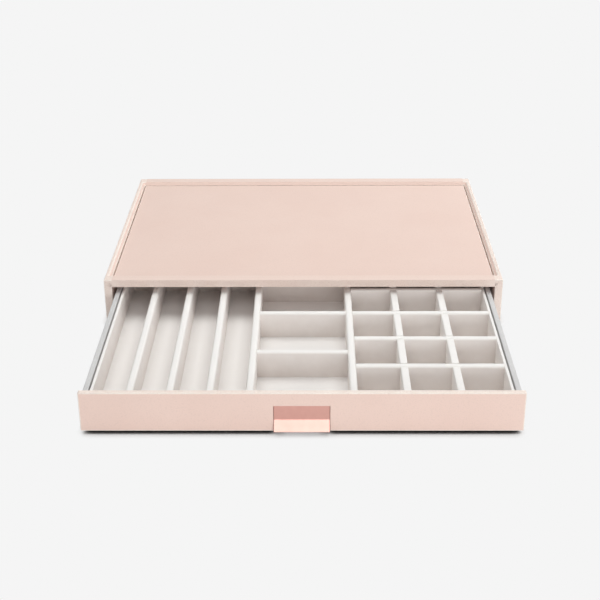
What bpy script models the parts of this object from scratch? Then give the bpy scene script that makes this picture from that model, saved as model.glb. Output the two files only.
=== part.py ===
"""Stacking jewelry drawer: a leatherette casing with a pull-out drawer and a velvet compartment tray.

Lengths are in metres and +Z is up. The origin is the middle of the base, on the surface that the casing
stands on. The drawer's front faces -Y. The drawer stands pulled out by PULL_OUT.
"""

import math

import bmesh
import bpy
from mathutils import Vector

# Casing, outside
CASING_WIDTH = 0.430
CASING_DEPTH = 0.320
CASING_WALL_HEIGHT = 0.051
SIDE_THICKNESS = 0.0085
BACK_THICKNESS = 0.0085
CASING_BOTTOM_THICKNESS = 0.0035

# Raised rim and the recess inside it, which holds the base of the unit stacked above
RAIL_HEIGHT = 0.008
SIDE_RIM_FLAT = 0.0037
RAIL_RIM_FLAT = 0.012
RIM_SLOPE_RUN = 0.0033
RECESS_DEPTH = 0.0035
TOP_PANEL_THICKNESS = 0.0042

# Base plinth, which drops into the recess of the unit below
PLINTH_DROP = 0.003
PLINTH_CLEARANCE = 0.001

# Drawer front, inset between the casing's sides
FRONT_THICKNESS = 0.006
FRONT_SIDE_GAP = 0.0015
FRONT_TOP_GAP = 0.0018
FRONT_BOTTOM_RISE = 0.001
FRONT_REST_GAP = 0.0008

# Drawer box
PULL_OUT = 0.226
DRAWER_SIDE_CLEARANCE = 0.0036
DRAWER_BACK_CLEARANCE = 0.0118
DRAWER_SIDE_DROP = 0.005
DRAWER_SIDE_THICKNESS = 0.005
DRAWER_BOTTOM_THICKNESS = 0.0025

# Velvet tray inside the drawer
TRAY_SIDE_GAP = 0.0008
TRAY_END_GAP = 0.0005
TRAY_TOP_DROP = 0.0004
TRAY_WALL_THICKNESS = 0.0036
TRAY_BASE_THICKNESS = 0.0016
DIVIDER_THICKNESS = 0.0073
MIDDLE_CLEAR_WIDTH = 0.0891
LANE_COUNT = 4
GRID_COLUMNS = 3
GRID_ROWS = 5
MIDDLE_DIVIDERS = 3
MIDDLE_ROW_SHARE = 1.5
LAP_HEIGHT_SHARE = 0.5
LAP_CLEARANCE = 0.0003

# Bent metal pull in its stepped notch
PULL_WIDTH = 0.0516
PULL_THICKNESS = 0.0013
PULL_TOP_DROP = 0.0140
PULL_CREASE_RISE = 0.0112
PULL_LIP_REACH = 0.0075
PULL_LIP_FALL = 0.0090
PULL_BEND_RADIUS = 0.0014
PULL_SETBACK = 0.0012
NOTCH_CLEARANCE = 0.0005
NOTCH_TOP_BELOW_CREASE = 0.0006

# Fits, edges and cutters
SEAT_GAP = 0.0003
WRAP_EDGE_RADIUS = 0.0009
BOARD_EDGE_RADIUS = 0.0006
METAL_EDGE_RADIUS = 0.0002
CUTTER_OVERRUN = 0.002
EDGE_SEGMENTS = 3
METAL_EDGE_SEGMENTS = 2
ROUND_TOP_STEPS = 10
BEND_STEPS = 6
EDGE_ANGLE = math.radians(30)

# Casing, worked out
HALF_WIDTH = CASING_WIDTH / 2
FRONT_Y = -CASING_DEPTH / 2
BACK_Y = CASING_DEPTH / 2
WALL_LOW_Z = PLINTH_DROP
RIM_Z = WALL_LOW_Z + CASING_WALL_HEIGHT
RAIL_LOW_Z = RIM_Z - RAIL_HEIGHT
RECESS_Z = RIM_Z - RECESS_DEPTH
TOP_PANEL_LOW_Z = RECESS_Z - TOP_PANEL_THICKNESS
LEDGE_Z = TOP_PANEL_LOW_Z - SEAT_GAP
INNER_HALF_WIDTH = HALF_WIDTH - SIDE_THICKNESS
RECESS_HALF_WIDTH = HALF_WIDTH - SIDE_RIM_FLAT - RIM_SLOPE_RUN
RAIL_DEPTH = RAIL_RIM_FLAT + RIM_SLOPE_RUN
RECESS_HALF_DEPTH = CASING_DEPTH / 2 - RAIL_DEPTH
CASING_FLOOR_Z = WALL_LOW_Z + CASING_BOTTOM_THICKNESS

# Drawer, worked out, with Y measured back from the face of the drawer front
FRONT_HALF_WIDTH = INNER_HALF_WIDTH - FRONT_SIDE_GAP
FRONT_LOW_Z = WALL_LOW_Z + FRONT_BOTTOM_RISE
FRONT_HIGH_Z = RAIL_LOW_Z - FRONT_TOP_GAP
BOX_HALF_WIDTH = INNER_HALF_WIDTH - DRAWER_SIDE_CLEARANCE
BOX_FRONT_Y = FRONT_THICKNESS + SEAT_GAP
BOX_BACK_Y = CASING_DEPTH - BACK_THICKNESS - DRAWER_BACK_CLEARANCE
BOX_LOW_Z = CASING_FLOOR_Z + SEAT_GAP
BOX_FLOOR_Z = BOX_LOW_Z + DRAWER_BOTTOM_THICKNESS
BOX_TOP_Z = FRONT_HIGH_Z - DRAWER_SIDE_DROP
BOX_INNER_HALF_WIDTH = BOX_HALF_WIDTH - DRAWER_SIDE_THICKNESS

# Tray, worked out
TRAY_HALF_WIDTH = BOX_INNER_HALF_WIDTH - TRAY_SIDE_GAP
TRAY_FRONT_Y = FRONT_THICKNESS + TRAY_END_GAP
TRAY_BACK_Y = BOX_BACK_Y - DRAWER_SIDE_THICKNESS - TRAY_END_GAP
TRAY_LOW_Z = BOX_FLOOR_Z + SEAT_GAP
TRAY_FLOOR_Z = TRAY_LOW_Z + TRAY_BASE_THICKNESS
WALL_FOOT_Z = TRAY_FLOOR_Z + SEAT_GAP
TRAY_TOP_Z = BOX_TOP_Z - TRAY_TOP_DROP
CLEAR_HALF_WIDTH = TRAY_HALF_WIDTH - TRAY_WALL_THICKNESS
CLEAR_FRONT_Y = TRAY_FRONT_Y + TRAY_WALL_THICKNESS
CLEAR_BACK_Y = TRAY_BACK_Y - TRAY_WALL_THICKNESS
PARTITION_X = (MIDDLE_CLEAR_WIDTH + DIVIDER_THICKNESS) / 2
WING_CLEAR_LOW_X = PARTITION_X + DIVIDER_THICKNESS / 2
LANE_PITCH = (CLEAR_HALF_WIDTH - WING_CLEAR_LOW_X + DIVIDER_THICKNESS) / LANE_COUNT
COLUMN_PITCH = (CLEAR_HALF_WIDTH - WING_CLEAR_LOW_X + DIVIDER_THICKNESS) / GRID_COLUMNS
ROW_PITCH = (CLEAR_BACK_Y - CLEAR_FRONT_Y + DIVIDER_THICKNESS) / GRID_ROWS
MIDDLE_PITCH = ROW_PITCH * MIDDLE_ROW_SHARE
LAP_Z = WALL_FOOT_Z + (TRAY_TOP_Z - WALL_FOOT_Z) * LAP_HEIGHT_SHARE

# Pull, worked out
PULL_TOP_Z = FRONT_HIGH_Z - PULL_TOP_DROP
PULL_CREASE_Z = FRONT_LOW_Z + PULL_CREASE_RISE
POCKET_DEPTH = PULL_SETBACK + PULL_THICKNESS + SEAT_GAP
NOTCH_HALF_WIDTH = PULL_WIDTH / 2 + NOTCH_CLEARANCE
NOTCH_TOP_Z = PULL_CREASE_Z - NOTCH_TOP_BELOW_CREASE

# Colours, roughness and metallic values of the finishes
LEATHERETTE = ("blush_leatherette", (0.80, 0.60, 0.54, 1.0), 0.55, 0.0)
VELVET = ("cream_velvet", (0.80, 0.77, 0.71, 1.0), 0.95, 0.0)
BOARD = ("grey_board", (0.62, 0.62, 0.62, 1.0), 0.70, 0.0)
FELT = ("grey_felt", (0.45, 0.43, 0.41, 1.0), 0.98, 0.0)
ROSE_GOLD = ("rose_gold_metal", (0.85, 0.56, 0.46, 1.0), 0.28, 1.0)


def clear_scene():
    """Remove what the open file holds, so that only this model is left."""
    for old in list(bpy.data.objects):
        bpy.data.objects.remove(old, do_unlink=True)


def finish(look):
    """Return the material of a finish, made once."""
    name, colour, roughness, metallic = look
    material = bpy.data.materials.get(name)
    if material is None:
        material = bpy.data.materials.new(name)
        material.use_nodes = True
        shader = material.node_tree.nodes["Principled BSDF"]
        shader.inputs["Base Color"].default_value = colour
        shader.inputs["Roughness"].default_value = roughness
        shader.inputs["Metallic"].default_value = metallic
        material.diffuse_color = colour
    return material


def add_object(name, bm, location, look=None, parent=None):
    """Turn a bmesh into a named object at its place, under its parent."""
    bmesh.ops.recalc_face_normals(bm, faces=bm.faces)
    mesh = bpy.data.meshes.new(name)
    bm.to_mesh(mesh)
    bm.free()
    thing = bpy.data.objects.new(name, mesh)
    bpy.context.scene.collection.objects.link(thing)
    thing.location = location
    thing.parent = parent
    if look is not None:
        mesh.materials.append(finish(look))
    return thing


def add_box(bm, low, high):
    """Add a box between two corners to a bmesh."""
    corners = bmesh.ops.create_cube(bm, size=1.0)["verts"]
    size = Vector(high) - Vector(low)
    bmesh.ops.scale(bm, verts=corners, vec=size)
    bmesh.ops.translate(bm, verts=corners, vec=(Vector(low) + Vector(high)) / 2)


def round_edges(thing, radius, segments=EDGE_SEGMENTS):
    """Round the edges of a piece, as its wrap or its finish does."""
    bevel = thing.modifiers.new("rounded_edges", "BEVEL")
    bevel.width = radius
    bevel.segments = segments
    bevel.limit_method = "ANGLE"
    bevel.angle_limit = EDGE_ANGLE


def board(name, low, high, look, radius, parent=None):
    """Make a flat board with rounded edges, its origin at its middle."""
    middle = (Vector(low) + Vector(high)) / 2
    bm = bmesh.new()
    add_box(bm, Vector(low) - middle, Vector(high) - middle)
    thing = add_object(name, bm, middle, look, parent)
    round_edges(thing, radius)
    return thing


def add_prism(bm, outline, length, lay):
    """Extrude an outline to both sides of zero, with lay placing (across, up, along) in space."""
    low = [bm.verts.new(lay(across, up, -length / 2)) for across, up in outline]
    high = [bm.verts.new(lay(across, up, length / 2)) for across, up in outline]
    bm.faces.new(low)
    bm.faces.new(reversed(high))
    count = len(outline)
    for i in range(count):
        j = (i + 1) % count
        bm.faces.new((low[j], low[i], high[i], high[j]))


def along_x(across, up, along):
    """Lay an extrusion along X, with its outline in the YZ plane."""
    return Vector((along, across, up))


def along_y(across, up, along):
    """Lay an extrusion along Y, with its outline in the XZ plane."""
    return Vector((across, along, up))


def cut(thing, name, add_shapes, parent=None):
    """Cut shapes out of a piece with a hidden cutter, before its edges are rounded."""
    bm = bmesh.new()
    add_shapes(bm)
    cutter = add_object(name, bm, Vector(), None, parent)
    cutter.hide_render = True
    cutter.display_type = "WIRE"
    boolean = thing.modifiers.new(name, "BOOLEAN")
    boolean.operation = "DIFFERENCE"
    boolean.solver = "EXACT"
    boolean.object = cutter
    order = thing.modifiers.find(name)
    thing.modifiers.move(order, 0)


def add_recess_shape(bm):
    """Add the hopper that the rim leaves: sloped down to the recess, then straight down to the ledge."""
    run_per_depth = RIM_SLOPE_RUN / RECESS_DEPTH
    flare = (RECESS_DEPTH + CUTTER_OVERRUN) * run_per_depth
    levels = (
        (LEDGE_Z, 0.0),
        (RECESS_Z, 0.0),
        (RIM_Z + CUTTER_OVERRUN, flare),
    )
    rings = []
    for z, grow in levels:
        x = RECESS_HALF_WIDTH + grow
        y = RECESS_HALF_DEPTH + grow
        rings.append([bm.verts.new(place) for place in ((-x, -y, z), (x, -y, z), (x, y, z), (-x, y, z))])
    bm.faces.new(rings[0])
    bm.faces.new(reversed(rings[-1]))
    for lower, upper in zip(rings, rings[1:]):
        for i in range(len(lower)):
            j = (i + 1) % len(lower)
            bm.faces.new((lower[i], lower[j], upper[j], upper[i]))


def build_casing():
    """Build the sleeve: two sides, two rails, top panel, back, bottom and base plinth."""
    for side, name in ((-1, "casing_left_side"), (1, "casing_right_side")):
        x_ends = sorted((side * INNER_HALF_WIDTH, side * HALF_WIDTH))
        thing = board(
            name,
            (x_ends[0], FRONT_Y, WALL_LOW_Z),
            (x_ends[1], BACK_Y, RIM_Z),
            LEATHERETTE,
            WRAP_EDGE_RADIUS,
        )
        cut(thing, name + "_recess_cutter", add_recess_shape)
    rail_half_length = INNER_HALF_WIDTH - SEAT_GAP
    outline = (
        (-RAIL_DEPTH / 2, -RAIL_HEIGHT / 2),
        (RAIL_DEPTH / 2, -RAIL_HEIGHT / 2),
        (RAIL_DEPTH / 2, RAIL_HEIGHT / 2 - RECESS_DEPTH),
        (RAIL_RIM_FLAT - RAIL_DEPTH / 2, RAIL_HEIGHT / 2),
        (-RAIL_DEPTH / 2, RAIL_HEIGHT / 2),
    )
    rail_z = RIM_Z - RAIL_HEIGHT / 2
    for name, way in (("casing_front_rail", 1), ("casing_back_rail", -1)):
        bm = bmesh.new()
        add_prism(bm, [(way * y, z) for y, z in outline], 2 * rail_half_length, along_x)
        y = way * (FRONT_Y + RAIL_DEPTH / 2)
        rail = add_object(name, bm, Vector((0, y, rail_z)), LEATHERETTE)
        round_edges(rail, WRAP_EDGE_RADIUS)
    panel_half_width = RECESS_HALF_WIDTH - SEAT_GAP
    panel_half_depth = RECESS_HALF_DEPTH - SEAT_GAP
    board(
        "casing_top_panel",
        (-panel_half_width, -panel_half_depth, TOP_PANEL_LOW_Z),
        (panel_half_width, panel_half_depth, RECESS_Z),
        LEATHERETTE,
        BOARD_EDGE_RADIUS,
    )
    board(
        "casing_back",
        (-rail_half_length, BACK_Y - BACK_THICKNESS, WALL_LOW_Z),
        (rail_half_length, BACK_Y, RAIL_LOW_Z - SEAT_GAP),
        LEATHERETTE,
        WRAP_EDGE_RADIUS,
    )
    board(
        "casing_bottom",
        (-rail_half_length, FRONT_Y + FRONT_THICKNESS + FRONT_REST_GAP, WALL_LOW_Z),
        (rail_half_length, BACK_Y - BACK_THICKNESS - SEAT_GAP, CASING_FLOOR_Z),
        LEATHERETTE,
        BOARD_EDGE_RADIUS,
    )
    plinth_half_width = RECESS_HALF_WIDTH - PLINTH_CLEARANCE
    plinth_half_depth = RECESS_HALF_DEPTH - PLINTH_CLEARANCE
    board(
        "base_plinth",
        (-plinth_half_width, -plinth_half_depth, 0),
        (plinth_half_width, plinth_half_depth, PLINTH_DROP - SEAT_GAP),
        FELT,
        BOARD_EDGE_RADIUS,
    )


def build_drawer_box(slide):
    """Build the drawer's bottom, two sides and back, behind its front."""
    board(
        "drawer_bottom",
        (-BOX_HALF_WIDTH, BOX_FRONT_Y, BOX_LOW_Z),
        (BOX_HALF_WIDTH, BOX_BACK_Y, BOX_FLOOR_Z),
        BOARD,
        BOARD_EDGE_RADIUS,
        slide,
    )
    foot_z = BOX_FLOOR_Z + SEAT_GAP
    for side, name in ((-1, "drawer_left_side"), (1, "drawer_right_side")):
        x_ends = sorted((side * BOX_INNER_HALF_WIDTH, side * BOX_HALF_WIDTH))
        board(
            name,
            (x_ends[0], BOX_FRONT_Y, foot_z),
            (x_ends[1], BOX_BACK_Y, BOX_TOP_Z),
            BOARD,
            BOARD_EDGE_RADIUS,
            slide,
        )
    back_half_length = BOX_INNER_HALF_WIDTH - SEAT_GAP
    board(
        "drawer_back",
        (-back_half_length, BOX_BACK_Y - DRAWER_SIDE_THICKNESS, foot_z),
        (back_half_length, BOX_BACK_Y, BOX_TOP_Z),
        BOARD,
        BOARD_EDGE_RADIUS,
        slide,
    )


def add_pull_pocket(bm):
    """Add the shallow pocket in the front's face, which holds the pull's upper leg."""
    add_box(
        bm,
        (-NOTCH_HALF_WIDTH, -CUTTER_OVERRUN, NOTCH_TOP_Z - CUTTER_OVERRUN),
        (NOTCH_HALF_WIDTH, POCKET_DEPTH, PULL_TOP_Z + NOTCH_CLEARANCE),
    )


def add_finger_notch(bm):
    """Add the notch that goes right through the front and is open below."""
    add_box(
        bm,
        (-NOTCH_HALF_WIDTH, -CUTTER_OVERRUN, FRONT_LOW_Z - CUTTER_OVERRUN),
        (NOTCH_HALF_WIDTH, FRONT_THICKNESS + CUTTER_OVERRUN, NOTCH_TOP_Z),
    )


def build_front(slide):
    """Build the drawer front with its stepped notch."""
    front = board(
        "drawer_front",
        (-FRONT_HALF_WIDTH, 0, FRONT_LOW_Z),
        (FRONT_HALF_WIDTH, FRONT_THICKNESS, FRONT_HIGH_Z),
        LEATHERETTE,
        WRAP_EDGE_RADIUS,
        slide,
    )
    cut(front, "pull_pocket_cutter", add_pull_pocket, slide)
    cut(front, "finger_notch_cutter", add_finger_notch, slide)


def bent_strip_outline():
    """Return the side outline of the pull: an upright leg, a bend, and a lip that slants out and down."""
    leg_y = PULL_SETBACK + PULL_THICKNESS / 2
    lean = math.atan2(PULL_LIP_REACH, PULL_LIP_FALL)
    radius = PULL_BEND_RADIUS + PULL_THICKNESS / 2
    tangent = radius * math.tan(lean / 2)
    lip_length = math.hypot(PULL_LIP_REACH, PULL_LIP_FALL)
    path = [(Vector((leg_y, PULL_TOP_Z)), 0.0)]
    bend_middle = Vector((leg_y - radius, PULL_CREASE_Z + tangent))
    for step in range(BEND_STEPS + 1):
        angle = lean * step / BEND_STEPS
        spot = bend_middle + Vector((radius * math.cos(angle), -radius * math.sin(angle)))
        path.append((spot, angle))
    way = Vector((-math.sin(lean), -math.cos(lean)))
    crease = Vector((leg_y, PULL_CREASE_Z))
    path.append((crease + way * lip_length, lean))
    inner = []
    outer = []
    for spot, angle in path:
        across = Vector((math.cos(angle), -math.sin(angle))) * (PULL_THICKNESS / 2)
        inner.append(spot + across)
        outer.append(spot - across)
    return [tuple(spot) for spot in inner + outer[::-1]]


def build_pull(slide):
    """Build the bent metal pull."""
    bm = bmesh.new()
    add_prism(bm, bent_strip_outline(), PULL_WIDTH, along_x)
    pull = add_object("drawer_pull", bm, Vector(), ROSE_GOLD, slide)
    round_edges(pull, METAL_EDGE_RADIUS, METAL_EDGE_SEGMENTS)


def round_topped_outline(thickness, low_z, high_z):
    """Return the section of a padded wall: flat foot, straight faces and a half-round top."""
    radius = thickness / 2
    outline = [(-radius, low_z), (radius, low_z)]
    for step in range(ROUND_TOP_STEPS + 1):
        angle = math.pi * step / ROUND_TOP_STEPS
        outline.append((radius * math.cos(angle), high_z - radius + radius * math.sin(angle)))
    return outline


def padded_wall(name, start, end, thickness, slide):
    """Make a velvet wall with a half-round top from start to end, which share one X or one Y."""
    start = Vector(start)
    end = Vector(end)
    lay = along_x if start.y == end.y else along_y
    middle_z = (WALL_FOOT_Z + TRAY_TOP_Z) / 2
    outline = round_topped_outline(thickness, WALL_FOOT_Z - middle_z, TRAY_TOP_Z - middle_z)
    bm = bmesh.new()
    add_prism(bm, outline, (end - start).length, lay)
    middle = (start + end) / 2
    return add_object(name, bm, Vector((middle.x, middle.y, middle_z)), VELVET, slide)


def build_tray(slide):
    """Build the tray's base and its four outer walls."""
    board(
        "tray_base",
        (-TRAY_HALF_WIDTH, TRAY_FRONT_Y, TRAY_LOW_Z),
        (TRAY_HALF_WIDTH, TRAY_BACK_Y, TRAY_FLOOR_Z),
        VELVET,
        SEAT_GAP,
        slide,
    )
    wall_x = TRAY_HALF_WIDTH - TRAY_WALL_THICKNESS / 2
    for side, name in ((-1, "tray_left_wall"), (1, "tray_right_wall")):
        x = side * wall_x
        padded_wall(name, (x, TRAY_FRONT_Y), (x, TRAY_BACK_Y), TRAY_WALL_THICKNESS, slide)
    end_x = CLEAR_HALF_WIDTH - SEAT_GAP
    front_y = TRAY_FRONT_Y + TRAY_WALL_THICKNESS / 2
    back_y = TRAY_BACK_Y - TRAY_WALL_THICKNESS / 2
    padded_wall("tray_front_wall", (-end_x, front_y), (end_x, front_y), TRAY_WALL_THICKNESS, slide)
    padded_wall("tray_back_wall", (-end_x, back_y), (end_x, back_y), TRAY_WALL_THICKNESS, slide)


def build_long_walls(slide):
    """Build the two partitions and the three lane dividers, which run from front to back."""
    start_y = CLEAR_FRONT_Y + SEAT_GAP
    end_y = CLEAR_BACK_Y - SEAT_GAP
    for x, name in ((-PARTITION_X, "left_partition"), (PARTITION_X, "right_partition")):
        padded_wall(name, (x, start_y), (x, end_y), DIVIDER_THICKNESS, slide)
    for lane in range(1, LANE_COUNT):
        x = lane * LANE_PITCH - DIVIDER_THICKNESS / 2 - CLEAR_HALF_WIDTH
        padded_wall(f"lane_divider_{lane}", (x, start_y), (x, end_y), DIVIDER_THICKNESS, slide)


def build_middle_dividers(slide):
    """Build the cross dividers of the middle section."""
    end_x = MIDDLE_CLEAR_WIDTH / 2 - SEAT_GAP
    for row in range(1, MIDDLE_DIVIDERS + 1):
        y = CLEAR_FRONT_Y + row * MIDDLE_PITCH - DIVIDER_THICKNESS / 2
        padded_wall(f"middle_divider_{row}", (-end_x, y), (end_x, y), DIVIDER_THICKNESS, slide)


def grid_column_x(column):
    """Return the place of a long grid divider."""
    return WING_CLEAR_LOW_X + column * COLUMN_PITCH - DIVIDER_THICKNESS / 2


def grid_row_y(row):
    """Return the place of a cross grid divider."""
    return CLEAR_FRONT_Y + row * ROW_PITCH - DIVIDER_THICKNESS / 2


def build_grid(slide):
    """Build the grid of half-lapped dividers: long ones slotted from above, cross ones from below."""
    half_slot = DIVIDER_THICKNESS / 2 + LAP_CLEARANCE
    start_y = CLEAR_FRONT_Y + SEAT_GAP
    end_y = CLEAR_BACK_Y - SEAT_GAP
    start_x = WING_CLEAR_LOW_X + SEAT_GAP
    end_x = CLEAR_HALF_WIDTH - SEAT_GAP
    for column in range(1, GRID_COLUMNS):
        x = grid_column_x(column)
        name = f"grid_long_divider_{column}"
        wall = padded_wall(name, (x, start_y), (x, end_y), DIVIDER_THICKNESS, slide)

        def add_top_slots(bm, x=x):
            for row in range(1, GRID_ROWS):
                y = grid_row_y(row)
                add_box(
                    bm,
                    (x - DIVIDER_THICKNESS, y - half_slot, LAP_Z),
                    (x + DIVIDER_THICKNESS, y + half_slot, TRAY_TOP_Z + CUTTER_OVERRUN),
                )

        cut(wall, name + "_slots", add_top_slots, slide)
    for row in range(1, GRID_ROWS):
        y = grid_row_y(row)
        name = f"grid_cross_divider_{row}"
        wall = padded_wall(name, (start_x, y), (end_x, y), DIVIDER_THICKNESS, slide)

        def add_bottom_slots(bm, y=y):
            for column in range(1, GRID_COLUMNS):
                x = grid_column_x(column)
                add_box(
                    bm,
                    (x - half_slot, y - DIVIDER_THICKNESS, WALL_FOOT_Z - CUTTER_OVERRUN),
                    (x + half_slot, y + DIVIDER_THICKNESS, LAP_Z + LAP_CLEARANCE),
                )

        cut(wall, name + "_slots", add_bottom_slots, slide)


def build_drawer():
    """Build all that slides, under an empty on the line that the drawer slides along."""
    slide = bpy.data.objects.new("drawer_slide", None)
    bpy.context.scene.collection.objects.link(slide)
    slide.location = (0, FRONT_Y - PULL_OUT, 0)
    build_drawer_box(slide)
    build_front(slide)
    build_pull(slide)
    build_tray(slide)
    build_long_walls(slide)
    build_middle_dividers(slide)
    build_grid(slide)


clear_scene()
build_casing()
build_drawer()
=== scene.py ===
"""Looks of a stacking jewelry drawer: wrapped casing, drawer box, rose gold pull and velvet tray.

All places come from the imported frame, in metres, with the drawer's front facing -Y and +Z up.
"""

import logging
import math
from contextlib import contextmanager
from dataclasses import dataclass
from enum import Enum
from typing import Callable, Iterator, Sequence

import bpy
from mathutils import Matrix, Vector


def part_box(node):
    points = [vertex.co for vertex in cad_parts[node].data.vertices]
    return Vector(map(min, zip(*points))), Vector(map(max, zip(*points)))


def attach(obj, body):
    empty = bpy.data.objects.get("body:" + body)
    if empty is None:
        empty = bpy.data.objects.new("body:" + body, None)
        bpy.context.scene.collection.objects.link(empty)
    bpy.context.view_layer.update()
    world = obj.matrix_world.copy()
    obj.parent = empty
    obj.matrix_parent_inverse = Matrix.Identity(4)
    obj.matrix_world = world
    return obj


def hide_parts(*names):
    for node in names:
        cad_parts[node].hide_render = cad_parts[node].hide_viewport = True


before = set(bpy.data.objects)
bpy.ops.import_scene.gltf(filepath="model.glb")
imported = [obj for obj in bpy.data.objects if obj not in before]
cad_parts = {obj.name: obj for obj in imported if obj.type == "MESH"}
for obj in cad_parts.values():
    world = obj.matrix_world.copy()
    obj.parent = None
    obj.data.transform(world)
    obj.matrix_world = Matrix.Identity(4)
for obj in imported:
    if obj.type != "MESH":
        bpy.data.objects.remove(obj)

LOG = logging.getLogger("jewelry_drawer")
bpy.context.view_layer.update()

Colour = tuple[float, float, float]
Point = Sequence[float]
Span = tuple[float, float]
Corners = list[Vector]
Piece = bpy.types.Object
Socket = bpy.types.NodeSocket

TOUCH = 1e-5  # places that are nearer than this, in metres, count as one
SQUARE_ON = 0.99  # a normal's share along an axis from which its face counts as square to it
NONE_TO_ALL: Span = (0.0, 1.0)
ALL_TO_NONE: Span = (1.0, 0.0)
STRETCH_AND_HIGHLIGHT = "stretch"  # the attribute that says where a cover is pulled taut and where a highlight is painted
PAINTED_FLOOR_LIGHT = "painted_floor_light"  # the attribute that marks the tray floor for painted light, a paler tone that stands in for light from above


class Body(Enum):
    """The moving bodies that pieces ride on."""

    CASING = "casing"
    DRAWER = "drawer"


class Pick(Enum):
    """What edit mode selects: its value is the selection mode's three switches."""

    EDGES = (False, True, False)
    FACES = (False, False, True)


class Axis(Enum):
    """The axis that a straight piece runs along: its value is the axis's index."""

    X = 0
    Y = 1
    Z = 2


# Modelling by hand


def clear_selection() -> None:
    """Leave edit mode and deselect everything."""
    active = bpy.context.object
    if active is not None and active.mode != "OBJECT":
        bpy.ops.object.mode_set(mode="OBJECT")
    bpy.ops.object.select_all(action="DESELECT")


def make_active(piece: Piece) -> None:
    """Select one piece alone and make it the active one.

    Args:
        piece: The piece to select.
    """
    clear_selection()
    piece.select_set(True)
    bpy.context.view_layer.objects.active = piece


def settle(piece: Piece) -> None:
    """Put a piece's place, turn and size into its mesh, with its object at the origin."""
    make_active(piece)
    bpy.ops.object.transform_apply(location=True, rotation=True, scale=True)


def add_block(name: str, low: Point, high: Point) -> Piece:
    """Add a cube between two corners.

    Args:
        name: The new piece's name.
        low: Its lowest corner.
        high: Its highest corner.

    Returns:
        The new piece, at the origin with its place in its mesh.
    """
    clear_selection()
    low, high = Vector(low), Vector(high)
    bpy.ops.mesh.primitive_cube_add(size=1.0, location=(low + high) / 2, scale=high - low)
    piece = bpy.context.object
    piece.name = piece.data.name = name
    settle(piece)
    return piece


@contextmanager
def editing(piece: Piece, pick: Pick, wanted: Callable[[Corners], bool]) -> Iterator[None]:
    """Open a piece in edit mode with some of its edges or faces selected.

    Args:
        piece: The piece to edit.
        pick: Whether edges or faces are selected.
        wanted: Says from an edge's or a face's corners whether to select it.
    """
    make_active(piece)
    mesh = piece.data
    for group in (mesh.vertices, mesh.edges, mesh.polygons):
        group.foreach_set("select", [False] * len(group))
    bpy.context.tool_settings.mesh_select_mode = pick.value
    for item in mesh.edges if pick is Pick.EDGES else mesh.polygons:
        if wanted([mesh.vertices[i].co for i in item.vertices]):
            item.select = True
            for i in item.vertices:
                mesh.vertices[i].select = True
    bpy.ops.object.mode_set(mode="EDIT")
    try:
        yield
    finally:
        bpy.ops.object.mode_set(mode="OBJECT")


def all_at(axis: Axis, place: float) -> Callable[[Corners], bool]:
    """Return a test for edges or faces that lie wholly at one place along an axis."""
    return lambda corners: all(abs(corner[axis.value] - place) < TOUCH for corner in corners)


def everything(corners: Corners) -> bool:
    """Pick every edge or face."""
    return True


def nothing(corners: Corners) -> bool:
    """Pick no edge or face."""
    return False


def modify(piece: Piece, kind: str, **settings: object) -> None:
    """Give a piece a modifier and apply it.

    Args:
        piece: The piece to change.
        kind: The modifier's type name.
        **settings: Values for its properties.
    """
    modifier = piece.modifiers.new(kind.lower(), kind)
    for key, value in settings.items():
        setattr(modifier, key, value)
    make_active(piece)
    bpy.ops.object.modifier_apply(modifier=modifier.name)


def round_edges(piece: Piece, radius: float, segments: int, least_angle: float = 30.0,
                kept: Callable[[Corners], bool] = nothing) -> None:
    """Round the edges of a piece that turn by more than an angle, and shade it smooth.

    Args:
        piece: The piece to round.
        radius: The rounding's width.
        segments: How many faces the rounding has.
        least_angle: The angle in degrees from which an edge is rounded.
        kept: Says from an edge's corners whether it stays as it is, where two pieces share one wrap.
    """
    mesh = piece.data
    normals_by_edge: dict[tuple[int, int], list[Vector]] = {}
    for face in mesh.polygons:
        for key in face.edge_keys:
            normals_by_edge.setdefault(key, []).append(face.normal)
    weights = mesh.attributes.new("bevel_weight_edge", "FLOAT", "EDGE")
    for edge in mesh.edges:
        first, second = normals_by_edge[edge.key]
        corners = [mesh.vertices[i].co for i in edge.vertices]
        if first.angle(second) > math.radians(least_angle) and not kept(corners):
            weights.data[edge.index].value = 1.0
    modify(piece, "BEVEL", width=radius, segments=segments, limit_method="WEIGHT")
    smooth(piece)
    modify(piece, "WEIGHTED_NORMAL", keep_sharp=True)


def smooth(piece: Piece, angle: float = 40.0) -> None:
    """Shade a piece smooth, apart from edges sharper than the angle in degrees."""
    make_active(piece)
    bpy.ops.object.shade_smooth_by_angle(angle=math.radians(angle))


def cut_away(piece: Piece, cutter: Piece) -> None:
    """Cut a cutter's shape out of a piece and remove the cutter."""
    modify(piece, "BOOLEAN", operation="DIFFERENCE", solver="EXACT", object=cutter)
    bpy.data.objects.remove(cutter, do_unlink=True)


def join(pieces: list[Piece], name: str) -> Piece:
    """Join pieces into one.

    Args:
        pieces: The pieces to join.
        name: The joined piece's name.

    Returns:
        The joined piece.
    """
    make_active(pieces[0])
    for piece in pieces[1:]:
        piece.select_set(True)
    bpy.ops.object.join()
    joined = bpy.context.object
    joined.name = joined.data.name = name
    return joined


def shows_on_top(normal: Vector) -> bool:
    """Tell whether a face is level and faces up."""
    return normal.z > SQUARE_ON


def shows_on_rail(normal: Vector) -> bool:
    """Tell whether a face is level and faces up, or faces the front."""
    return shows_on_top(normal) or normal.y < -SQUARE_ON


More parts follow.
